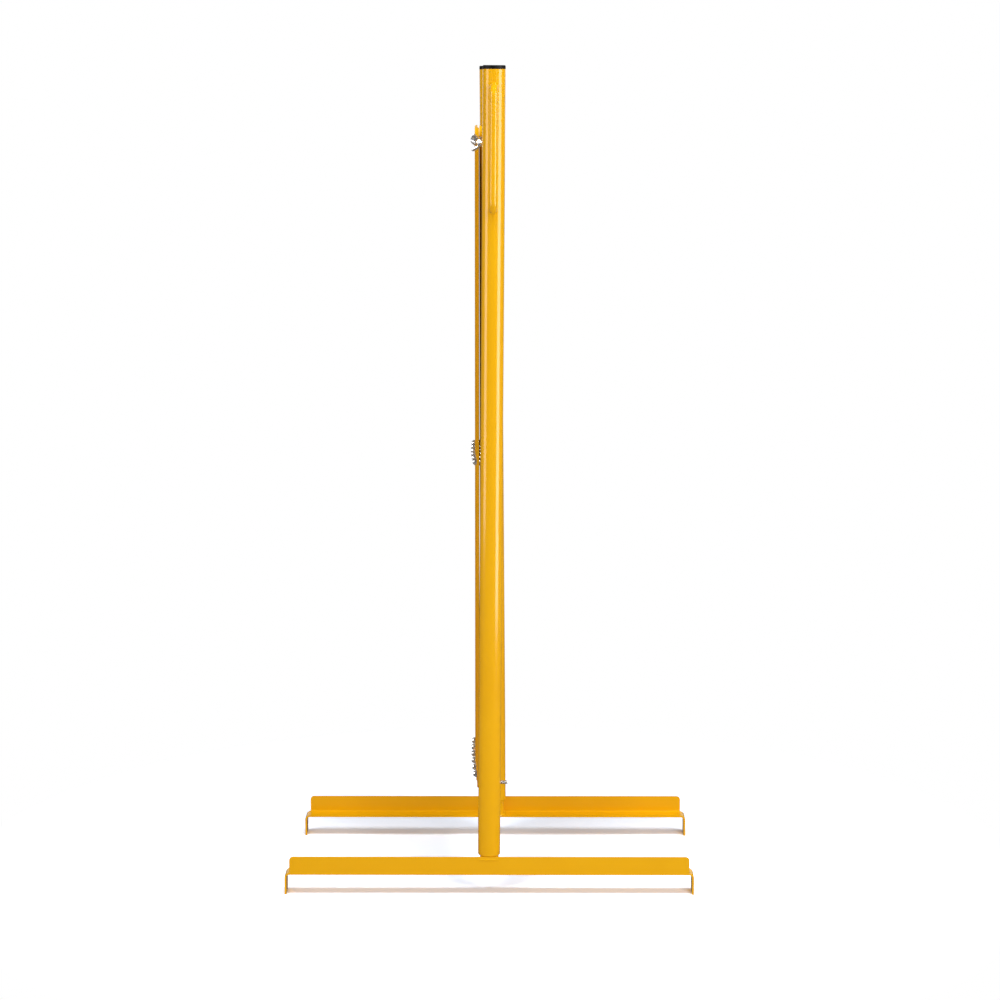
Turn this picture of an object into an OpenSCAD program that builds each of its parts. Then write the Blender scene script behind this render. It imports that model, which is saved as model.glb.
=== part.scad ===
// Free-standing expanding lattice barrier, folded: two posts on T-feet with a scissor lattice
// of flat bars between them. Millimetres. X runs across the feet, Y from the near post to the
// far one, Z up. The origin is on the floor, midway between the posts.

/* [Overall] */
// Height from the floor to the top of the post caps
total_height = 1113; // [1108:5:1208]
// Depth when folded, outer face to outer face of the feet
folded_depth = 296; // [296:2:330]

/* [Lattice] */
// Crossing pairs of bars between the posts
units = 6; // [4:1:6]
// Width of a bar
bar_w = 34; // [24:1:34]
// Thickness of a bar
bar_t = 3; // [2:0.5:3]
// Distance that a bar runs on past its end pivots
bar_end = 19; // [17:0.5:19]
// Height of the upper pivots
upper_pivot_z = 1012; // [1005:1:1030]
// Height of the lower pivots when folded
lower_pivot_z = 157; // [155:1:165]
// Gap between the two layers of bars
layer_gap = 3; // [2.8:0.1:3.2]
// Extra gap between the layers, which the posts' lean leaves out
lattice_spread = 1.2; // [0:0.1:2]
// Sideways shift of the far left-hand bar against the near one
left_skew = 4; // [0:0.1:6.5]
// Further sideways shift of the left-hand bars midway
left_bow = 1.5; // [0:0.1:2]
// Sideways shift of the farthest right-hand bar; the one before it shifts by half of this
right_skew = 5.2; // [0:0.1:5.4]
// Swing of each bar from folded to fully open, in degrees
open_swing = 38; // [20:1:38]

/* [Posts] */
// Outer diameter of a post tube
tube_d = 30; // [28:1:32]
// Wall of a post tube
tube_wall = 2; // [1.5:0.5:2]
// Distance from a post's axis to the end pivots beside it
pivot_inset = 28; // [28:0.5:30]
// Distance from a post's axis to the facing side of its end bars
bar_side = 12.8; // [12.8:0.1:14]
// Height of a cap's rim above the tube
cap_rim = 5; // [3:0.5:6]
// Depth of a cap's plug inside the tube
cap_plug = 14; // [8:1:20]

/* [Handles] */
// Diameter of the handle's round bar
handle_d = 10; // [8:1:12]
// Lower end of a handle
handle_low = 922; // [900:1:930]
// Upper end of a handle
handle_high = 1090; // [1060:1:1092]
// Reach of a handle out from the tube
handle_reach = 38; // [34:1:45]
// Bend radius on the handle's centre line
handle_bend = 12; // [10:1:14]

/* [Feet] */
// Half length of a foot, to the outer face of its legs
foot_half = 277.5; // [240:0.5:320]
// Width of each flange of the foot's angle section
angle_w = 25; // [25:1:30]
// Thickness of the angle section
angle_t = 2.5; // [2:0.5:3]
// Clear height under a foot
foot_clear = 27.5; // [20:0.5:30]
// Outer radius of the bends that turn the flange down into the legs
leg_bend = 6.5; // [4:0.5:8]
// Corner radius of the upright flange
flange_corner = 5; // [2:1:8]
// Diameter of the stub that the post slips over
stub_d = 25; // [24.8:0.1:25]
// Wall of the stub
stub_wall = 3; // [2:0.5:4]
// Top of the stub
stub_top = 170; // [165:1:175]
// Height of the screw that locks the post on its stub
foot_screw_z = 153; // [148:1:156]
// Length of that screw outside the tube
foot_screw_out = 10; // [5:1:12]

/* [Brackets] */
// Thickness of the pivot brackets and guide plates
plate_t = 4; // [3:0.5:4]
// Least gap between a guide plate and the bar that slides along it
guide_gap = 1.8; // [1.7:0.1:2]
// Clearance on each side of the bolt in the guide slot
slot_play = 0.3; // [0.1:0.1:0.5]

/* [Fasteners] */
// Bolt diameter
bolt_d = 5; // [5:0.5:6]
// Width across the flats of bolt heads and nuts
hex_af = 8; // [8:1:10]
// Height of a bolt head
head_h = 3.5; // [3:0.5:4]
// Height of a locking nut
nut_h = 5; // [4:0.5:6]
// Thickness of a washer
washer_t = 1; // [0.8:0.1:1]
// Diameter of a washer
washer_d = 10; // [10:1:13]
// Turn of the wings of a wing nut, in degrees
wing_turn = 20; // [0:1:90]

/* [Hidden] */
$fn = 48;

paint = [0.91, 0.68, 0.08];
plastic = [0.08, 0.08, 0.08];
zinc = [0.72, 0.73, 0.75];

// Posts and feet
post_y = folded_depth / 2 - tube_d / 2;
foot_outer_y = folded_depth / 2;
foot_top = foot_clear + angle_w;
tube_bottom = foot_top + 0.1;
tube_chamfer = 1;
tube_top = total_height - cap_rim;

// Lattice
pivot_reach = post_y - pivot_inset;
pitch = 2 * pivot_reach / units;
fold_drop = upper_pivot_z - lower_pivot_z;
fold_angle = atan(pitch / fold_drop);
pivot_span = sqrt(pitch * pitch + fold_drop * fold_drop);
raised_pivot_z = upper_pivot_z - pivot_span * cos(fold_angle + open_swing);
middle_pivot_z = (upper_pivot_z + lower_pivot_z) / 2;
layer_pitch = bar_t + layer_gap;

// The end bars lie in two layers, so the posts lean apart sideways by one layer
lean = atan(layer_pitch / fold_drop);
right_layer_x = axis_x(upper_pivot_z) - bar_side - bar_t;
foot_x = axis_x((tube_bottom + stub_top) / 2);

// Holes and clearances
running_hole = bolt_d + 0.1;
plate_hole = bolt_d + 0.2;
tube_screw_hole = bolt_d + 0.4;
open_hole = bolt_d + 2 * slot_play;
thread_gap = 0.04;
washer_gap = 0.2;
seat_gap = 0.05;
bracket_gap = 0.06;
cut = 1;

// Fasteners: chamfer of a bolt's end, and the share of a locking nut's height and width that
// its hexagon and its collar take
bolt_end = 0.6;
nut_hex_share = 0.72;
nut_collar_share = 0.86;
collar_root = 0.2;
hex_chamfer_share = 0.6;

// Wing nut
wing_hub_h = 4.6;
wing_span = 27;
wing_h = 14.5;
wing_t = 2.4;

// Sliding bolt: the guide plate moves sideways against it by the post's lean
lean_shift = (raised_pivot_z - lower_pivot_z) * tan(lean);
slide_spacer = guide_gap - 0.3;
slide_stack = guide_gap + lean_shift + plate_t + 0.2;
slide_washer_d = washer_d + 4;

// Pieces of a post frame, of which there is a near one and a far one
FRAME_PIECES = [
    "foot", "foot_stub", "post_tube", "post_cap", "handle", "pivot_bracket", "guide_plate",
    "foot_screw", "bracket_bolt", "slide_bolt"
];
SIDES = [["near", 1], ["far", -1]];

// Sideways place of the near post's axis at height z; the far post's is its opposite
function axis_x(z) = (z - middle_pivot_z) * tan(lean);

// Left faces of the right-hand and left-hand bar of unit i, counted from the near post
function right_x(i) = right_layer_x - right_skew * max(0, i - units + 2) / 2;
function left_x(i) =
    right_layer_x - layer_pitch - lattice_spread
    - left_skew * (i - 1) / (units - 1)
    - left_bow * sin(180 * (i - 1) / (units - 1));

// Y of pivot column k, 0 beside the near post and units beside the far one
function pivot_y(k) = -pivot_reach + k * pitch;

// Left face of the bar that is bolted to a post's bracket, and of the one that slides below it
function fixed_bar_x(side) = side > 0 ? right_x(1) : left_x(units);
function slide_bar_x(side) = side > 0 ? left_x(1) : right_x(units);

// Extra spacers that fill the far bars' shifts, beside the far bracket and guide plate
function fixed_shift(side) = side > 0 ? 0 : lattice_spread + left_skew;
function slide_shift(side) = side > 0 ? 0 : right_skew;

// Guide plate's left face from its post's axis, clear of the sliding bar over its whole travel
function guide_x(side) = bar_t + guide_gap + slide_shift(side) + max(
    slide_bar_x(side) - side * axis_x(lower_pivot_z),
    slide_bar_x(side) - side * axis_x(raised_pivot_z)
);

// Places children at a post: side 1 is the near post and -1 the far one. The origin is on the
// post's axis at the floor, and y points to the lattice.
module at_post(side) {
    if (side > 0) {
        translate([axis_x(0), -post_y, 0])
            rotate([0, lean, 0])
                children();
    } else {
        mirror([0, 1, 0])
            translate([-axis_x(0), -post_y, 0])
                rotate([0, -lean, 0])
                    children();
    }
}

// Places children at a foot: upright, with y from the outer face of the foot to the lattice
module at_foot(side) {
    if (side > 0) {
        translate([foot_x, -foot_outer_y, 0])
            children();
    } else {
        mirror([0, 1, 0])
            translate([-foot_x, -foot_outer_y, 0])
                children();
    }
}

// Turns a drawing in (y, z) and raises it along x by t from x0
module plate_yz(x0, t) {
    translate([x0, 0, 0])
        rotate([90, 0, 90])
            linear_extrude(t)
                children();
}

// Rod or ring along x from x0 to x1
module rod_x(x0, x1, d, bore = 0) {
    translate([x0, 0, 0])
        rotate([0, 90, 0])
            difference() {
                cylinder(d = d, h = x1 - x0);
                if (bore > 0) {
                    translate([0, 0, -cut])
                        cylinder(d = bore, h = x1 - x0 + 2 * cut);
                }
            }
}

// Hexagon along x from x0, its corners chamfered at the outer end, which faces +x or -x
module hex_x(x0, h, outer = 1) {
    corner_d = hex_af / cos(30);
    chamfer = (corner_d - hex_af) / 2 * hex_chamfer_share;
    translate([x0, 0, 0])
        rotate([0, outer * 90, 0])
            intersection() {
                cylinder(d = corner_d, h = h, $fn = 6);
                union() {
                    cylinder(d = corner_d, h = h - chamfer);
                    translate([0, 0, h - chamfer])
                        cylinder(d1 = corner_d, d2 = hex_af, h = chamfer);
                }
            }
}

// Hexagon bolt with its head seated at x = seat, its shank running to x = tip
module bolt_x(seat, tip) {
    hex_x(seat + seat_gap, head_h);
    rod_x(tip + bolt_end / 2, seat + head_h / 2, bolt_d);
    translate([tip, 0, 0])
        rotate([0, 90, 0])
            cylinder(d1 = bolt_d - bolt_end, d2 = bolt_d, h = bolt_end / 2);
}

// Locking nut seated at x = seat, its round collar facing -x
module lock_nut(seat) {
    hex_h = nut_h * nut_hex_share;
    difference() {
        union() {
            hex_x(seat, hex_h, -1);
            rod_x(seat - nut_h, seat - hex_h + collar_root, hex_af * nut_collar_share);
        }
        rod_x(seat - nut_h - cut, seat + cut, bolt_d + thread_gap);
    }
}

module washer(x0, t, d = washer_d) {
    rod_x(x0, x0 + t, d, bolt_d + washer_gap);
}

// Feet

// Arch of half width w and height h with round shoulders, drawn in (x, z)
module arch(w, h, r) {
    translate([-w, -cut])
        square([2 * w, h - r + cut]);
    translate([-w + r, 0])
        square([2 * (w - r), h]);
    for (s = [-1, 1]) {
        translate([s * (w - r), h - r])
            circle(r = r);
    }
}

// Horizontal flange of the angle, turned down at both ends into legs
module foot_flange() {
    translate([0, angle_w, 0])
        rotate([90, 0, 0])
            linear_extrude(angle_w)
                intersection() {
                    difference() {
                        arch(foot_half, foot_clear + angle_t, leg_bend);
                        arch(foot_half - angle_t, foot_clear, leg_bend - angle_t);
                    }
                    translate([-foot_half, 0])
                        square([2 * foot_half, foot_top]);
                }
}

// Upright flange, with its top corners rounded
module foot_upright() {
    half = foot_half - leg_bend;
    translate([0, angle_t, foot_clear])
        rotate([90, 0, 0])
            linear_extrude(angle_t) {
                translate([-half, 0])
                    square([2 * half, angle_w - flange_corner]);
                translate([-half + flange_corner, 0])
                    square([2 * (half - flange_corner), angle_w]);
                for (s = [-1, 1]) {
                    translate([s * (half - flange_corner), angle_w - flange_corner])
                        circle(r = flange_corner);
                }
            }
}

// Fillet along the inside corner of the angle, cut away where the stub stands
module foot_fillet() {
    half = foot_half - leg_bend;
    difference() {
        plate_yz(-half, 2 * half)
            translate([angle_t, foot_clear + angle_t])
                difference() {
                    square(angle_t);
                    translate([angle_t, angle_t])
                        circle(r = angle_t);
                }
        translate([0, tube_d / 2, 0])
            cylinder(d = stub_d, h = foot_top + cut);
    }
}

module foot(side) {
    color(paint)
        at_foot(side) {
            foot_flange();
            foot_upright();
            foot_fillet();
        }
}

module foot_stub(side) {
    base = foot_clear + angle_t;
    color(paint)
        at_foot(side)
            translate([0, tube_d / 2, 0])
                difference() {
                    translate([0, 0, base])
                        cylinder(d = stub_d, h = stub_top - base);
                    translate([0, 0, base - cut])
                        cylinder(d = stub_d - 2 * stub_wall, h = stub_top - base + 2 * cut);
                    translate([0, 0, foot_screw_z])
                        rotate([0, side * 90, 0])
                            cylinder(d = running_hole, h = stub_d);
                }
}

// Screw through the side of the tube into the stub
module foot_screw(side) {
    inner = stub_d / 2 - stub_wall;
    outer = tube_d / 2 + foot_screw_out;
    color(zinc)
        at_foot(side)
            translate([0, tube_d / 2, foot_screw_z])
                rotate([0, side * 90, 0]) {
                    translate([0, 0, inner])
                        cylinder(d = bolt_d, h = outer - inner - bolt_end / 2);
                    translate([0, 0, outer - bolt_end / 2])
                        cylinder(d1 = bolt_d, d2 = bolt_d - bolt_end, h = bolt_end / 2);
                }
}

// Posts

// Round tube, its lower outer edge chamfered
module post_tube(side) {
    color(paint)
        at_post(side)
            difference() {
                union() {
                    translate([0, 0, tube_bottom])
                        cylinder(d1 = tube_d - 2 * tube_chamfer, d2 = tube_d, h = tube_chamfer);
                    translate([0, 0, tube_bottom + tube_chamfer])
                        cylinder(d = tube_d, h = tube_top - tube_bottom - tube_chamfer);
                }
                translate([0, 0, tube_bottom - cut])
                    cylinder(d = tube_d - 2 * tube_wall, h = tube_top - tube_bottom + 2 * cut);
                translate([0, 0, foot_screw_z])
                    rotate([0, side * 90, 0])
                        cylinder(d = tube_screw_hole, h = tube_d);
            }
}

// Plastic cap: a rim with a rounded edge over the tube's end and a plug inside it
module post_cap(side) {
    edge = 1.5;
    rim_r = tube_d / 2;
    plug_r = tube_d / 2 - tube_wall;
    color(plastic)
        at_post(side)
            translate([0, 0, tube_top])
                rotate_extrude() {
                    translate([0, -cap_plug])
                        square([plug_r, cap_plug + cut]);
                    square([rim_r, cap_rim - edge]);
                    square([rim_r - edge, cap_rim]);
                    translate([rim_r - edge, cap_rim - edge])
                        circle(r = edge);
                }
}

// D-shaped handle of round bar on the outer side of the tube, its ends fitted to the tube
module handle(side) {
    leg_low = handle_low + handle_d / 2;
    leg_high = handle_high - handle_d / 2;
    grip_y = -(tube_d / 2 + handle_reach - handle_d / 2);
    color(paint)
        at_post(side)
            difference() {
                union() {
                    translate([0, grip_y, leg_low + handle_bend])
                        cylinder(d = handle_d, h = leg_high - leg_low - 2 * handle_bend);
                    for (z = [leg_low, leg_high]) {
                        translate([0, grip_y + handle_bend, z])
                            rotate([-90, 0, 0])
                                cylinder(d = handle_d, h = -grip_y - handle_bend);
                    }
                    translate([0, grip_y + handle_bend, leg_low + handle_bend])
                        handle_corner(180);
                    translate([0, grip_y + handle_bend, leg_high - handle_bend])
                        handle_corner(90);
                }
                cylinder(d = tube_d, h = total_height);
            }
}

// Quarter bend of the handle's bar in the (y, z) plane, turned by a
module handle_corner(a) {
    rotate([a, 0, 0])
        rotate([90, 0, 90])
            rotate_extrude(angle = 90)
                translate([handle_bend, 0])
                    circle(d = handle_d);
}

// Bracket plate welded to the tube, with the hole for the fixed pivot. It leans with the post,
// so a small gap stays between it and the spacer.
module pivot_bracket(side) {
    nose_r = 11;
    root_half = 18;
    root_y = tube_d / 4;
    spacer_right = fixed_bar_x(side) + bar_t + washer_t + fixed_shift(side);
    plate_x = spacer_right + bracket_gap - side * axis_x(upper_pivot_z);
    color(paint)
        at_post(side)
            difference() {
                plate_yz(plate_x, plate_t)
                    translate([0, upper_pivot_z])
                        difference() {
                            union() {
                                polygon([
                                    [root_y, -root_half], [pivot_inset, -nose_r],
                                    [pivot_inset, nose_r], [root_y, root_half]
                                ]);
                                translate([pivot_inset, 0])
                                    circle(r = nose_r);
                            }
                            translate([pivot_inset, 0])
                                circle(d = plate_hole);
                        }
                cylinder(d = tube_d, h = total_height);
            }
}

// Upright plate welded to the tube, with the slot that the sliding bolt runs in
module guide_plate(side) {
    margin = 19;
    free_y = pivot_inset + 7.4;
    corner = 5;
    low = lower_pivot_z - margin;
    high = raised_pivot_z + margin;
    slot_w = bolt_d + 2 * slot_play;
    slot_low = lower_pivot_z - slot_play;
    slot_high = raised_pivot_z + slot_play;
    color(paint)
        at_post(side)
            difference() {
                plate_yz(guide_x(side), plate_t)
                    difference() {
                        union() {
                            translate([0, low])
                                square([free_y - corner, high - low]);
                            translate([0, low + corner])
                                square([free_y, high - low - 2 * corner]);
                            for (z = [low + corner, high - corner]) {
                                translate([free_y - corner, z])
                                    circle(r = corner);
                            }
                        }
                        translate([pivot_inset - slot_w / 2, slot_low])
                            square([slot_w, slot_high - slot_low]);
                        for (z = [slot_low, slot_high]) {
                            translate([pivot_inset, z])
                                circle(d = slot_w);
                        }
                    }
                cylinder(d = tube_d, h = total_height);
            }
}

// Bolt of the fixed pivot. The far one has a locking nut, the near one a washer under a wing nut.
module bracket_bolt(side) {
    bar_x = fixed_bar_x(side);
    spacer = washer_t + fixed_shift(side);
    seat = bar_x + bar_t + spacer + plate_t + 2 * bracket_gap;
    grip = side > 0 ? washer_t + wing_hub_h + bolt_end : nut_h;
    color(zinc)
        translate([0, -side * pivot_reach, upper_pivot_z]) {
            bolt_x(seat, bar_x - grip - bolt_end);
            washer(bar_x + bar_t, spacer);
            if (side > 0) {
                washer(bar_x - washer_t, washer_t);
            } else {
                lock_nut(bar_x);
            }
        }
}

// Wing nut of the near fixed pivot: a tapered hub with two wings that rise outwards
module wing_nut() {
    tip_r = 3.2;
    hub_r = 5.5;
    tip = [wing_span / 2 - tip_r, wing_h - tip_r];
    color(zinc)
        translate([fixed_bar_x(1) - washer_t, -pivot_reach, upper_pivot_z])
            rotate([wing_turn, 0, 0])
                rotate([0, -90, 0])
                    difference() {
                        union() {
                            cylinder(r1 = hub_r, r2 = hub_r - 1, h = wing_hub_h);
                            for (a = [0, 180]) {
                                rotate([90, 0, a])
                                    translate([0, 0, -wing_t / 2])
                                        linear_extrude(wing_t) {
                                            translate(tip)
                                                circle(r = tip_r);
                                            polygon([
                                                [hub_r / 2, 0.8], [hub_r, 0.8],
                                                tip + tip_r * [0.8, -0.6],
                                                tip + tip_r * [-0.8, 0.6],
                                                [hub_r / 2, wing_hub_h]
                                            ]);
                                        }
                            }
                        }
                        translate([0, 0, -cut])
                            cylinder(d = bolt_d + thread_gap, h = wing_h + 2 * cut);
                    }
}

// Bolt that rides in the guide slot, held in the sliding bar by its nut
module slide_bolt(side) {
    bar_x = slide_bar_x(side);
    bar_right = bar_x + bar_t;
    plate_right = bar_right + slide_shift(side) + slide_stack;
    color(zinc)
        translate([0, -side * pivot_reach, lower_pivot_z]) {
            bolt_x(plate_right + washer_t, bar_x - nut_h - bolt_end);
            washer(plate_right, washer_t, slide_washer_d);
            washer(bar_right, slide_spacer + slide_shift(side));
            lock_nut(bar_x);
        }
}

// Lattice

// Flat bar with round ends, hanging from its upper pivot at the origin
module bar(upper_hole, middle_hole, lower_hole) {
    round_shift = bar_end - bar_w / 2;
    plate_yz(0, bar_t)
        difference() {
            union() {
                translate([-bar_w / 2, -pivot_span - round_shift])
                    square([bar_w, pivot_span + 2 * round_shift]);
                for (z = [round_shift, -pivot_span - round_shift]) {
                    translate([0, z])
                        circle(d = bar_w);
                }
            }
            circle(d = upper_hole);
            translate([0, -pivot_span / 2])
                circle(d = middle_hole);
            translate([0, -pivot_span])
                circle(d = lower_hole);
        }
}

// Bar of the right-hand layer, from the upper pivot on the near side of its unit
module right_bar(i) {
    color(paint)
        translate([right_x(i), pivot_y(i - 1), upper_pivot_z])
            rotate([fold_angle, 0, 0])
                bar(running_hole, running_hole, running_hole);
}

// Bar of the left-hand layer, from the upper pivot on the far side of its unit
module left_bar(i) {
    color(paint)
        translate([left_x(i), pivot_y(i), upper_pivot_z])
            rotate([-fold_angle, 0, 0])
                bar(running_hole, running_hole, i == 1 ? running_hole : open_hole);
}

// Bolt, washer, spacer and nut through a right-hand and a left-hand bar, whose left faces are
// given
module pivot_set(right, left) {
    color(zinc) {
        bolt_x(right + bar_t + washer_t, left - nut_h - bolt_end);
        washer(right + bar_t, washer_t);
        washer(left + bar_t, right - left - bar_t);
        lock_nut(left);
    }
}

module middle_pivot(i) {
    translate([0, pivot_y(i - 0.5), middle_pivot_z])
        pivot_set(right_x(i), left_x(i));
}

module upper_pivot(k) {
    translate([0, pivot_y(k), upper_pivot_z])
        pivot_set(right_x(k + 1), left_x(k));
}

module lower_pivot(k) {
    translate([0, pivot_y(k), lower_pivot_z])
        pivot_set(right_x(k), left_x(k + 1));
}

for (s = SIDES) foot(s[1]);
for (s = SIDES) foot_stub(s[1]);
for (s = SIDES) post_tube(s[1]);
for (s = SIDES) post_cap(s[1]);
for (s = SIDES) handle(s[1]);
for (s = SIDES) pivot_bracket(s[1]);
for (s = SIDES) guide_plate(s[1]);
for (s = SIDES) foot_screw(s[1]);
for (s = SIDES) bracket_bolt(s[1]);
for (s = SIDES) slide_bolt(s[1]);
wing_nut();  // near_wing_nut
for (i = [1:units]) right_bar(i);
for (i = [1:units]) left_bar(i);
for (i = [1:units]) middle_pivot(i);
for (k = [1:units - 1]) upper_pivot(k);
for (k = [1:units - 1]) lower_pivot(k);
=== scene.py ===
"""Looks of the folded lattice barrier: camera, studio, materials, and the welds, threads and cast
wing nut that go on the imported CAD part. Metres, in the CAD's own frame: X across the feet, Y away
from the camera."""

import bpy
import bmesh
import math
import random
from mathutils import Matrix, Vector


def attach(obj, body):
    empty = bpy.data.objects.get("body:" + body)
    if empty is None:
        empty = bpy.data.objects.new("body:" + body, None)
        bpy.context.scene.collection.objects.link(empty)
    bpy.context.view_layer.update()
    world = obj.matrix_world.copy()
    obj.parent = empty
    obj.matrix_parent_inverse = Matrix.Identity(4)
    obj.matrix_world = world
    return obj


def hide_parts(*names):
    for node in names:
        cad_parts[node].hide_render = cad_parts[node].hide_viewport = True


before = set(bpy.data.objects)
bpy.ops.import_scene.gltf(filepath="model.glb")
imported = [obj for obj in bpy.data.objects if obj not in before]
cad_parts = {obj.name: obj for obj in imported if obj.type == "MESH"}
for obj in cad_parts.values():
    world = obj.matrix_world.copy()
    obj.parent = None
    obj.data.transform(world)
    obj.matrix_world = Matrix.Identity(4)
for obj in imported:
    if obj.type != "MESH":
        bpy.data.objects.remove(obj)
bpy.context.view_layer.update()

SCENE = bpy.context.scene

# ---------------------------------------------------------------------------------------------
# Camera
# ---------------------------------------------------------------------------------------------

# Fitted to the photograph, whose lens was level and shifted far down. A slight pitch stands in for
# most of that shift, so that the other views hold the whole object.
IMAGE_PX = 1000
SENSOR_MM = 36
FOCAL_PX = 2548.7
AXIS_PX = (500, 440)  # where the lens's axis meets the picture, from its top left corner
CAMERA_AT = (0.0233, -3.4810, 1.1021)
CAMERA_YAW = 0.0036
CAMERA_PITCH = 0.1428
CLIP_END = 200


def make_camera():
    data = bpy.data.cameras.new("camera")
    data.sensor_width = SENSOR_MM
    data.lens = FOCAL_PX * SENSOR_MM / IMAGE_PX
    data.shift_x = (IMAGE_PX / 2 - AXIS_PX[0]) / IMAGE_PX
    data.shift_y = (AXIS_PX[1] - IMAGE_PX / 2) / IMAGE_PX
    data.clip_end = CLIP_END
    camera = bpy.data.objects.new("camera", data)
    camera.location = CAMERA_AT
    camera.rotation_euler = (math.pi / 2 - CAMERA_PITCH, 0, CAMERA_YAW)
    SCENE.collection.objects.link(camera)
    SCENE.camera = camera


make_camera()
SCENE.view_settings.view_transform = "Standard"

# ---------------------------------------------------------------------------------------------
# Node trees
# ---------------------------------------------------------------------------------------------


class Tree:
    """Short calls to build a node tree."""

    def __init__(self, owner):
        owner.use_nodes = True
        self.tree = owner.node_tree
        self.tree.nodes.clear()

    def add(self, kind, inputs=None, **settings):
        """Node with its settings and inputs. An input is a value, or an output to link."""
        node = self.tree.nodes.new(kind)
        for name, value in settings.items():
            setattr(node, name, value)
        for name, value in (inputs or {}).items():
            if isinstance(value, bpy.types.NodeSocket):
                self.tree.links.new(value, node.inputs[name])
            else:
                node.inputs[name].default_value = value
        return node

    def maths(self, operation, first, second):
        node = self.add("ShaderNodeMath", {0: first, 1: second}, operation=operation)
        return node.outputs[0]

    def spread(self, value, across, onto):
        """Maps one range of the value onto another, and holds it at the ends."""
        inputs = {"Value": value, "From Min": across[0], "From Max": across[1]}
        inputs.update({"To Min": onto[0], "To Max": onto[1]})
        return self.add("ShaderNodeMapRange", inputs).outputs["Result"]

    def ramp(self, value, stops):
        node = self.add("ShaderNodeValToRGB", {"Fac": value})
        points = node.color_ramp.elements
        while len(points) < len(stops):
            points.new(0.5)  # moved below
        for point, (place, colour) in zip(points, stops):
            point.position = place
            point.color = (*colour, 1)
        return node.outputs["Color"]

    def noise(self, scale, detail, **more):
        """Noise through the object's own space. The scale is per metre."""
        place = self.add("ShaderNodeTexCoord").outputs["Object"]
        inputs = {"Vector": place, "Scale": scale, "Detail": detail, **more}
        return self.add("ShaderNodeTexNoise", inputs).outputs["Fac"]

    def bump(self, height, strength, distance, **more):
        inputs = {"Height": height, "Strength": strength, "Distance": distance, **more}
        return self.add("ShaderNodeBump", inputs).outputs["Normal"]

    def principled(self, inputs):
        surface = self.add("ShaderNodeBsdfPrincipled", inputs).outputs[0]
        self.add("ShaderNodeOutputMaterial", {"Surface": surface})


# ---------------------------------------------------------------------------------------------
# Studio
# ---------------------------------------------------------------------------------------------

WHITE = (1, 1, 1, 1)
FLOOR_HALF = 30
FLOOR_ALBEDO = (0.82, 0.74, 0.675, 1)  # the floor's colour to diffuse rays
FLOOR_SHOWN = (1.54, 1.67, 1.90, 1)  # to the camera, over 1 so that it is white wherever lit
FLOOR_MIRRORED = 0.10  # its brightness in reflections
SHADOW_REACH = (0.45, 0.75)  # radii between which the floor's shading fades into plain white
AMBIENT = 0.13  # the world's brightness to diffuse rays
ROOM = 0.06  # and in reflections, in front of the object
BACKDROP_DEPTH = (0.55, 1.0)  # depths between which the reflected room turns into the backdrop
CEILING_SHARE = 0.7  # how much a direction's rise takes from its depth

# Lamps as (name, place, aim, width, height, watts). Gleams show only in reflections, and the others
# only light surfaces. The keys don't light the floor, and the plate gleams show only in the plated
# pieces.
OVERHEADS = (
    ("overhead_left", (-0.95, -1.1, 4.6), (0, 0, 0), 0.9, 1.9, 76),
    ("overhead_right", (0.95, -1.1, 4.6), (0, 0, 0), 0.9, 1.9, 76),
)
KEYS = (
    ("left_key", (-1.40, -0.45, 1.05), (0, -0.133, 1.05), 0.60, 2.0, 4.4),
    ("right_key", (1.45, -0.38, 1.05), (0, -0.133, 1.05), 0.60, 2.0, 11),
)
FILLS = (
    ("left_fill", (-1.2, -2.6, 1.5), (0, -0.1, 0.6), 1.0, 1.6, 12),
    ("right_fill", (1.1, -2.7, 1.6), (0, -0.1, 0.6), 1.2, 1.6, 31),
)
POST_GLEAMS = (
    ("left_gleam", (-1.34, -0.56, 1.15), (0, -0.133, 1.15), 0.70, 1.8, 16),
    ("right_gleam", (1.30, -0.74, 1.10), (0, -0.133, 1.10), 0.82, 2.1, 35),
)
PLATE_GLEAMS = (
    ("top_gleam", (-1.5, -1.6, 2.2), (0, -0.1, 0.9), 1.0, 1.0, 330),
    ("front_gleam", (-0.5, -2.3, 2.3), (0, -0.1, 0.5), 1.6, 1.0, 70),
)


def background(tree, mirrored):
    """Brightness of the white background: 1 to the camera and through glass, and a given one in
    reflections."""
    path = tree.add("ShaderNodeLightPath").outputs
    mirrored = tree.maths("MULTIPLY", path["Is Glossy Ray"], mirrored)
    shown = tree.maths("MAXIMUM", path["Is Camera Ray"], path["Is Transmission Ray"])
    return tree.maths("MAXIMUM", shown, mirrored)


def make_world():
    """In reflections the world is white behind the object and falls to the dim room in front."""
    world = bpy.data.worlds.new("studio")
    SCENE.world = world
    tree = Tree(world)
    toward = tree.add("ShaderNodeTexCoord").outputs["Generated"]
    parts = tree.add("ShaderNodeSeparateXYZ", {"Vector": toward}).outputs
    depth = tree.maths("SUBTRACT", parts["Y"], tree.maths("MULTIPLY", parts["Z"], CEILING_SHARE))
    diffuse = tree.add("ShaderNodeLightPath").outputs["Is Diffuse Ray"]
    direct = tree.maths("MULTIPLY", diffuse, AMBIENT)
    shown = background(tree, tree.spread(depth, BACKDROP_DEPTH, (ROOM, 1)))
    strength = tree.maths("MAXIMUM", shown, direct)
    white = tree.add("ShaderNodeBackground", {"Color": WHITE, "Strength": strength})
    tree.add("ShaderNodeOutputWorld", {"Surface": white.outputs[0]})


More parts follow.
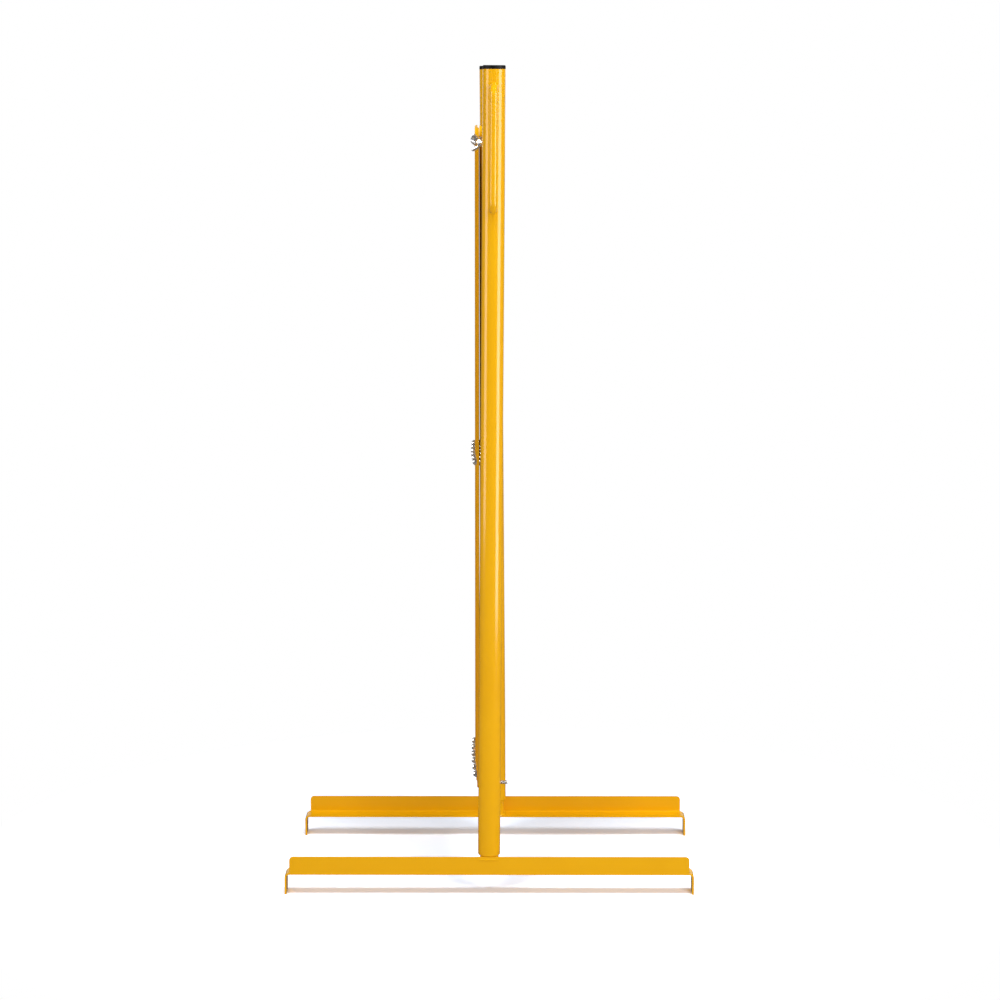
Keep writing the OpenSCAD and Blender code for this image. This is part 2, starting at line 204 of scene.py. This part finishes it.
def make_floor():
    """Near the object the floor is white wherever it is lit, and takes the shadow. Further out, and
    in reflections, it is plain background, and to diffuse rays it is a pale matt surface."""
    mesh = bpy.data.meshes.new("floor")
    corners = [(-1, -1), (1, -1), (1, 1), (-1, 1)]
    mesh.from_pydata([(x * FLOOR_HALF, y * FLOOR_HALF, 0) for x, y in corners], [], [(0, 1, 2, 3)])
    floor = bpy.data.objects.new("floor", mesh)
    SCENE.collection.objects.link(floor)
    material = bpy.data.materials.new("studio_floor")
    tree = Tree(material)
    lit = tree.add("ShaderNodeBsdfDiffuse", {"Color": FLOOR_ALBEDO}).outputs[0]
    near = tree.add("ShaderNodeBsdfDiffuse", {"Color": FLOOR_SHOWN}).outputs[0]
    brightness = background(tree, FLOOR_MIRRORED)
    plain = tree.add("ShaderNodeEmission", {"Color": WHITE, "Strength": brightness}).outputs[0]
    place = tree.add("ShaderNodeNewGeometry").outputs["Position"]
    radius = tree.add("ShaderNodeVectorMath", {0: place}, operation="LENGTH").outputs["Value"]
    path = tree.add("ShaderNodeLightPath").outputs
    far = tree.spread(radius, SHADOW_REACH, (0, 1))
    far = tree.maths("MAXIMUM", far, path["Is Glossy Ray"])
    shown = tree.add("ShaderNodeMixShader", {0: far, 1: near, 2: plain}).outputs[0]
    surface = tree.add("ShaderNodeMixShader", {0: path["Is Diffuse Ray"], 1: shown, 2: lit})
    tree.add("ShaderNodeOutputMaterial", {"Surface": surface.outputs[0]})
    mesh.materials.append(material)
    return floor


def softbox(name, place, aim, width, height, watts):
    data = bpy.data.lights.new(name, "AREA")
    data.shape = "RECTANGLE"
    data.size = width
    data.size_y = height
    data.energy = watts
    lamp = bpy.data.objects.new(name, data)
    lamp.location = place
    lamp.rotation_euler = (Vector(aim) - Vector(place)).to_track_quat("-Z", "Y").to_euler()
    SCENE.collection.objects.link(lamp)
    return lamp


def softboxes(rows, hidden_from):
    """Lamps of the rows, hidden from one kind of ray: "glossy" or "diffuse"."""
    lamps = [softbox(*row) for row in rows]
    for lamp in lamps:
        setattr(lamp, f"visible_{hidden_from}", False)
    return lamps


def link_lamps(name, lamps, objects, state):
    """Lets the lamps light only the objects, or all but the objects."""
    group = bpy.data.collections.new(name)
    for thing in objects:
        group.objects.link(thing)
    for item in group.collection_objects:
        item.light_linking.link_state = state
    for lamp in lamps:
        lamp.light_linking.receiver_collection = group


make_world()
floor = make_floor()
softboxes(OVERHEADS, "glossy")
keys = softboxes(KEYS, "glossy")
softboxes(FILLS, "glossy")
link_lamps("not_lit_by_keys", keys, [floor], "EXCLUDE")
softboxes(POST_GLEAMS, "diffuse")
plate_gleams = softboxes(PLATE_GLEAMS, "diffuse")

# ---------------------------------------------------------------------------------------------
# Materials
# ---------------------------------------------------------------------------------------------

NOISE_MIDDLE = (0.3, 0.7)  # where most of a noise's values lie
PLASTIC_IOR = 1.5

PAINT_SHADES = (
    (0.30, (0.825, 0.420, 0.0030)),
    (0.55, (0.840, 0.436, 0.0035)),
    (0.75, (0.855, 0.450, 0.0040)),
)
PAINT_ROUGHNESS = (0.30, 0.42)
DUST_COLOUR = (0.70, 0.30, 0.012, 1)
DUST_FROM_NOISE = (0.66, 0.80)
DUST_COVER = (0, 0.35)

CAP_SHADES = ((0.35, (0.005, 0.004, 0.004)), (0.70, (0.010, 0.009, 0.009)))
CAP_ROUGHNESS = (0.42, 0.60)

ZINC_SHADES = (
    (0.36, (0.50, 0.50, 0.52)),
    (0.50, (0.90, 0.90, 0.92)),
    (0.66, (0.97, 0.95, 0.90)),
)
ZINC_ROUGHNESS = (0.16, 0.30)


def make_paint():
    """Yellow powder coat: orange peel, slight shade changes and fine dust."""
    material = bpy.data.materials.new("yellow_powder_coat")
    tree = Tree(material)
    cloud = tree.noise(scale=9, detail=3, Roughness=0.55)
    speck = tree.noise(scale=900, detail=2, Roughness=0.6)
    peel = tree.noise(scale=420, detail=2, Roughness=0.45)
    wave = tree.noise(scale=55, detail=1)
    dust = tree.spread(speck, DUST_FROM_NOISE, DUST_COVER)
    shades = {"Factor": dust, "A": tree.ramp(cloud, PAINT_SHADES), "B": DUST_COLOUR}
    shade = tree.add("ShaderNodeMix", shades, data_type="RGBA").outputs["Result"]
    flow = tree.bump(wave, strength=0.02, distance=0.0012)
    fine = tree.bump(peel, strength=0.03, distance=0.0003, Normal=flow)
    tree.principled(
        {
            "Base Color": shade,
            "Roughness": tree.spread(wave, NOISE_MIDDLE, PAINT_ROUGHNESS),
            "Normal": fine,
            "IOR": PLASTIC_IOR,
            "Specular IOR Level": 0.0,
            "Coat Weight": 1.0,
            "Coat Roughness": 0.14,
            "Coat Normal": fine,
        }
    )
    return material


def make_plastic():
    """Black moulded plastic with a fine spark-eroded grain."""
    material = bpy.data.materials.new("black_cap_plastic")
    tree = Tree(material)
    grain = tree.noise(scale=1500, detail=3, Roughness=0.6)
    scuff = tree.noise(scale=120, detail=4, Roughness=0.7)
    tree.principled(
        {
            "Base Color": tree.ramp(scuff, CAP_SHADES),
            "Roughness": tree.spread(scuff, NOISE_MIDDLE, CAP_ROUGHNESS),
            "Normal": tree.bump(grain, strength=0.35, distance=0.0002),
            "IOR": PLASTIC_IOR,
            "Specular IOR Level": 0.15,
        }
    )
    return material


def make_zinc():
    """Bright zinc plate, grey in places, with a faint straw tint and fine machining marks."""
    material = bpy.data.materials.new("bright_zinc_plate")
    tree = Tree(material)
    tint = tree.noise(scale=260, detail=3)
    mark = tree.noise(scale=1800, detail=4, Roughness=0.7)
    tree.principled(
        {
            "Base Color": tree.ramp(tint, ZINC_SHADES),
            "Metallic": 0.85,
            "Roughness": tree.spread(mark, NOISE_MIDDLE, ZINC_ROUGHNESS),
            "Normal": tree.bump(mark, strength=0.10, distance=0.0001),
        }
    )
    return material


PAINT = make_paint()
PLASTIC = make_plastic()
ZINC = make_zinc()


def node_material(name):
    """Material of a CAD node, by its name."""
    if name.endswith("post_cap"):
        return PLASTIC
    if any(word in name for word in ("bolt", "screw", "nut")):
        return ZINC
    if "pivot_" in name and "bracket" not in name:
        return ZINC
    return PAINT


def dress_nodes():
    """Gives every CAD node the new material of its kind."""
    for name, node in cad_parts.items():
        node.data.materials.clear()
        node.data.materials.append(node_material(name))


dress_nodes()

# ---------------------------------------------------------------------------------------------
# Places on the CAD part, in millimetres
# ---------------------------------------------------------------------------------------------

MM = 0.001
UPPER_Z = 1012
LOWER_Z = 157
MIDDLE_Z = (UPPER_Z + LOWER_Z) / 2
LAYER_PITCH = 6
LEAN = math.atan(LAYER_PITCH / (UPPER_Z - LOWER_Z))  # of the posts, sideways
PIVOT_REACH = 105
POST_Y = 133
TUBE_R = 15
TUBE_BOTTOM = 52.6
STUB_R = 12.5
STUB_TOP = 170
FLANGE_TOP = 30
SCREW_Z = 153
HANDLE_ENDS = (("low", 927), ("high", 1085))


def axis_x(z):
    """How far a post's axis is from the middle at a height."""
    return (z - MIDDLE_Z) * math.tan(LEAN)


FOOT_X = axis_x((TUBE_BOTTOM + STUB_TOP) / 2)


def to_metres(side):
    """To the frame's metres from millimetres with y towards the lattice. side is 1 for the near
    post and -1 for the far one."""
    return Matrix.Diagonal((MM, MM * side, MM, 1))


def post_matrix(side):
    """From a leaning post's own millimetres to the frame's metres."""
    foot = Matrix.Translation((side * axis_x(0), -POST_Y, 0))
    return to_metres(side) @ foot @ Matrix.Rotation(side * LEAN, 4, "Y")


def foot_matrix(side):
    """From an upright foot's own millimetres to the frame's metres."""
    return to_metres(side) @ Matrix.Translation((side * FOOT_X, -POST_Y, 0))


# ---------------------------------------------------------------------------------------------
# Pieces
# ---------------------------------------------------------------------------------------------

PAINTED = (PAINT, "yellow_paint")
PLATED = (ZINC, "zinc_steel")


def new_piece(name, points, faces, matrix, finish, body):
    """Smooth piece on a body. The matrix takes its points to the frame's metres."""
    material, slot = finish
    mesh = bpy.data.meshes.new(name)
    mesh.from_pydata([matrix @ Vector(p) for p in points], [], faces)
    work = bmesh.new()
    work.from_mesh(mesh)
    bmesh.ops.recalc_face_normals(work, faces=work.faces)
    work.to_mesh(mesh)
    work.free()
    for face in mesh.polygons:
        face.use_smooth = True
    mesh.materials.append(material)
    piece = bpy.data.objects.new(name, mesh)
    SCENE.collection.objects.link(piece)
    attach(piece, body)
    return piece


def circle(steps):
    """Angles of one turn in equal steps."""
    return [2 * math.pi * k / steps for k in range(steps)]


def tube_faces(rings, around, closed):
    """Faces of a tube whose points come ring by ring, closed on itself or capped at its ends."""
    faces = []
    for i in range(rings if closed else rings - 1):
        this, after = i * around, (i + 1) % rings * around
        for k in range(around):
            beside = (k + 1) % around
            faces.append((this + k, this + beside, after + beside, after + k))
    if not closed:
        faces.append(tuple(range(around)))
        faces.append(tuple((rings - 1) * around + k for k in range(around)))
    return faces


# ---------------------------------------------------------------------------------------------
# Welds
# ---------------------------------------------------------------------------------------------

BEAD_SIDES = 10
BEAD_HEIGHT = 0.8  # of its radius, off the surface
BEAD_WIDTH = 1.15  # and along the surface
RIPPLE_LENGTH = 2.2
RIPPLE_DEPTH = 0.10
RIPPLE_CHANCE = 0.06
END_STEPS = 3  # over which an open bead comes down to its ends
END_SHARE = 0.35  # of its radius there

HANDLE_WELD_STEPS = 44
HANDLE_WELD_R = 5.1
HANDLE_WELD_SINK = 0.1
HANDLE_WELD_SPLAY = -0.6
HANDLE_BEAD_R = 0.9
HANDLE_WELD_SEED = 7

STUB_WELD_STEPS = 90
STUB_WELD_OUT = 1.04
STUB_WELD_UP = 0.6
STUB_WELD_RISE = 12
STUB_WELD_FRONT = -10.2  # the foot's wall is in the way beyond it
STUB_BEAD_R = 2.1
STUB_WELD_SEED = 40

SEAT_WELD_STEPS = 30
SEAT_WELD_HALF = 14.5
SEAT_WELD_Z = 48.7
SEAT_WELD_SINK = 1.35
SEAT_WELD_NORMAL = (0, -1, 0.1)
SEAT_BEAD_R = 2.2
SEAT_WELD_SEED = 60


def bead(name, path, normals, radius, matrix, body, closed, seed):
    """Weld bead along a path: a tube whose radius ripples, as its pool froze in steps."""
    draw = random.Random(seed)
    points = []
    count = len(path)
    length = 0.0
    for i, (p, n) in enumerate(zip(path, normals)):
        p, n = Vector(p), Vector(n).normalized()
        after = Vector(path[(i + 1) % count] if closed else path[min(i + 1, count - 1)])
        before = Vector(path[i - 1] if closed or i > 0 else path[0])
        along = (after - before).normalized()
        across = along.cross(n).normalized()
        if i > 0:
            length += (p - Vector(path[i - 1])).length
        end = 1.0
        if not closed:
            end = min(1.0, END_SHARE + (1 - END_SHARE) * (min(i, count - 1 - i) / END_STEPS))
        ripple = RIPPLE_DEPTH * math.sin(2 * math.pi * length / RIPPLE_LENGTH)
        r = radius * end * (1 + ripple + draw.uniform(-RIPPLE_CHANCE, RIPPLE_CHANCE))
        for a in circle(BEAD_SIDES):
            up, out = math.cos(a) * n * BEAD_HEIGHT, math.sin(a) * across * BEAD_WIDTH
            points.append(p + r * (up + out))
    faces = tube_faces(count, BEAD_SIDES, closed)
    new_piece(name, points, faces, matrix, PAINTED, body)


def handle_welds(side, body, label):
    """Rings round the handle's two legs, on the tube's round wall."""
    matrix = post_matrix(side)
    for end, z in HANDLE_ENDS:
        path, normals = [], []
        for t in circle(HANDLE_WELD_STEPS):
            x, rise = HANDLE_WELD_R * math.cos(t), HANDLE_WELD_R * math.sin(t)
            y = -math.sqrt(TUBE_R**2 - x * x)
            path.append((x, y + HANDLE_WELD_SINK, z + rise))
            normals.append((math.cos(t), HANDLE_WELD_SPLAY, math.sin(t)))
        name = f"{label}_handle_weld_{end}"
        seed = side * HANDLE_WELD_SEED + z
        bead(name, path, normals, HANDLE_BEAD_R, matrix, body, True, seed)


def stub_weld(side, body, label):
    """Fillet round the stub on the foot's flange, as far as the foot's wall."""
    ring = [(STUB_R * math.cos(t), STUB_R * math.sin(t)) for t in circle(STUB_WELD_STEPS)]
    top = FLANGE_TOP + STUB_WELD_UP
    path = [(STUB_WELD_OUT * x, STUB_WELD_OUT * y, top) for x, y in ring]
    keep = [i for i, point in enumerate(path) if point[1] > STUB_WELD_FRONT]
    start = next(i for i in keep if i - 1 not in keep and i > 0)
    path = [path[(start + k) % STUB_WELD_STEPS] for k in range(len(keep))]
    normals = [(x, y, STUB_WELD_RISE) for x, y, z in path]
    matrix = foot_matrix(side)
    seed = side + STUB_WELD_SEED
    bead(f"{label}_stub_weld", path, normals, STUB_BEAD_R, matrix, body, False, seed)


def seat_weld(side, body, label):
    """Low, ground-down weld on the foot's outer face below the post."""
    last = SEAT_WELD_STEPS - 1
    y = SEAT_WELD_SINK - TUBE_R
    xs = [-SEAT_WELD_HALF + 2 * SEAT_WELD_HALF * i / last for i in range(SEAT_WELD_STEPS)]
    path = [(x, y, SEAT_WELD_Z) for x in xs]
    normals = [SEAT_WELD_NORMAL] * SEAT_WELD_STEPS
    matrix = foot_matrix(side)
    seed = side + SEAT_WELD_SEED
    bead(f"{label}_seat_weld", path, normals, SEAT_BEAD_R, matrix, body, False, seed)


# ---------------------------------------------------------------------------------------------
# Wing nut
# ---------------------------------------------------------------------------------------------

NUT_X = -13.8
NUT_TURN = 20  # degrees about the bolt
NUT_STEPS = 40
NUT_BORE_R = 2.52
HUB_TOP = 4.6
# The hub's section as (radius, height), from the foot's bevelled bore out, up and back down
HUB_SECTION = (
    (NUT_BORE_R + 0.3, 0),
    (5.1, 0),
    (5.45, 0.35),
    (5.4, 1.1),
    (5.0, 1.6),
    (4.75, 2.8),
    (4.6, 3.9),
    (4.2, 4.4),
    (3.7, HUB_TOP),
    (NUT_BORE_R + 0.4, HUB_TOP),
    (NUT_BORE_R, HUB_TOP - 0.4),
    (NUT_BORE_R, 0.3),
)

WING_RINGS = 22
WING_SIDES = 16
# A wing's middle line as a curve of (radius, height): its root, its bend and its tip
WING_CURVE = ((2.9, 2.4), (6.6, 2.2), (11.0, 12.4))
WING_WIDTH = 2.2
WING_WAIST = 0.5  # taken off the width at the waist
WAIST_END = 0.6  # of the way along
WING_FLARE = 0.5  # added to the width at the tip
WING_THICK = 1.35
WING_TAPER = 0.15  # taken off the thickness at the tip
TIP_FROM = 0.84  # of the way along, where the tip's rounding starts
TIP_LENGTH = 0.16
TIP_LEAST = (0.12, 0.2)  # share of the width and thickness left at the very end


def lathe(profile, steps):
    """Points and faces of a closed ring profile of (radius, height) turned about z."""
    points = [(r * math.cos(a), r * math.sin(a), z) for a in circle(steps) for r, z in profile]
    return points, tube_faces(steps, len(profile), True)


def wing(sign):
    """One cast wing: flattened rings along a curve that leaves the hub and rises outwards."""
    root, bend, tip = map(Vector, WING_CURVE)
    points = []
    for i in range(WING_RINGS):
        t = i / (WING_RINGS - 1)
        place = (1 - t) ** 2 * root + 2 * t * (1 - t) * bend + t * t * tip
        along = (2 * (1 - t) * (bend - root) + 2 * t * (tip - bend)).normalized()
        across = Vector((-along.y, along.x))
        close = math.sqrt(max(0.0, 1 - max(0.0, (t - TIP_FROM) / TIP_LENGTH) ** 2))
        waist = WING_WAIST * math.sin(math.pi * min(1, t / WAIST_END))
        wide = (WING_WIDTH - waist + WING_FLARE * t) * max(close, TIP_LEAST[0])
        thick = (WING_THICK - WING_TAPER * t) * max(close, TIP_LEAST[1])
        for a in circle(WING_SIDES):
            flat = place + across * (wide * math.cos(a))
            points.append((sign * flat.x, sign * thick * math.sin(a), flat.y))
    return points, tube_faces(WING_RINGS, WING_SIDES, False)


def wing_nut():
    """Cast wing nut on the near pivot bolt: a tapered hub with a bead at its foot and two wings."""
    points, faces = lathe(HUB_SECTION, NUT_STEPS)
    for sign in (1, -1):
        more, sides = wing(sign)
        faces += [tuple(len(points) + v for v in face) for face in sides]
        points += more
    place = Matrix.Translation((NUT_X, -PIVOT_REACH, UPPER_Z))
    turn = Matrix.Rotation(math.radians(NUT_TURN), 4, "X") @ Matrix.Rotation(-math.pi / 2, 4, "Y")
    matrix = Matrix.Scale(MM, 4) @ place @ turn
    nut = new_piece("near_wing_nut_cast", points, faces, matrix, PLATED, "near_frame")
    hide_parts("near_wing_nut")


# ---------------------------------------------------------------------------------------------
# Foot screws
# ---------------------------------------------------------------------------------------------

THREAD_START = 9.5
THREAD_END = 25.0
THREAD_PITCH = 0.8
THREAD_SIDES = 24
RINGS_PER_PITCH = 6
THREAD_R = 2.5
THREAD_DEPTH = 0.42
THREAD_SLOPE = 1.6  # steepness of its flanks, which leaves a narrow root and a flat crest
THREAD_CHAMFER = 0.5


def foot_thread(side, body, label):
    """Foot screw with its rolled thread, from inside the stub to its chamfered end."""
    length = THREAD_END - THREAD_START
    rows = int(length / THREAD_PITCH * RINGS_PER_PITCH)
    points = []
    for i in range(rows + 1):
        along = THREAD_START + length * i / rows
        limit = THREAD_R - max(0.0, THREAD_CHAMFER - (THREAD_END - along))
        for k, a in enumerate(circle(THREAD_SIDES)):
            phase = ((along - THREAD_START) / THREAD_PITCH - k / THREAD_SIDES) % 1
            ridge = THREAD_DEPTH * min(1.0, THREAD_SLOPE * abs(2 * phase - 1))
            r = min(THREAD_R - THREAD_DEPTH + ridge, limit)
            points.append((side * along, r * math.cos(a), SCREW_Z + r * math.sin(a)))
    faces = tube_faces(rows + 1, THREAD_SIDES, False)
    matrix = foot_matrix(side)
    screw = new_piece(f"{label}_foot_thread", points, faces, matrix, PLATED, body)
    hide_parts(f"{label}_foot_screw")


def show_plate_gleams():
    """Lets the plate gleams show in the plated pieces alone, apart from those at the feet."""
    plated = [
        piece
        for piece in SCENE.objects
        if piece.type == "MESH" and ZINC.name in piece.data.materials and "foot" not in piece.name
    ]
    link_lamps("plated_pieces", plate_gleams, plated, "INCLUDE")


for side, label in ((1, "near"), (-1, "far")):
    body = f"{label}_frame"
    handle_welds(side, body, label)
    stub_weld(side, body, label)
    seat_weld(side, body, label)
    foot_thread(side, body, label)
wing_nut()
show_plate_gleams()
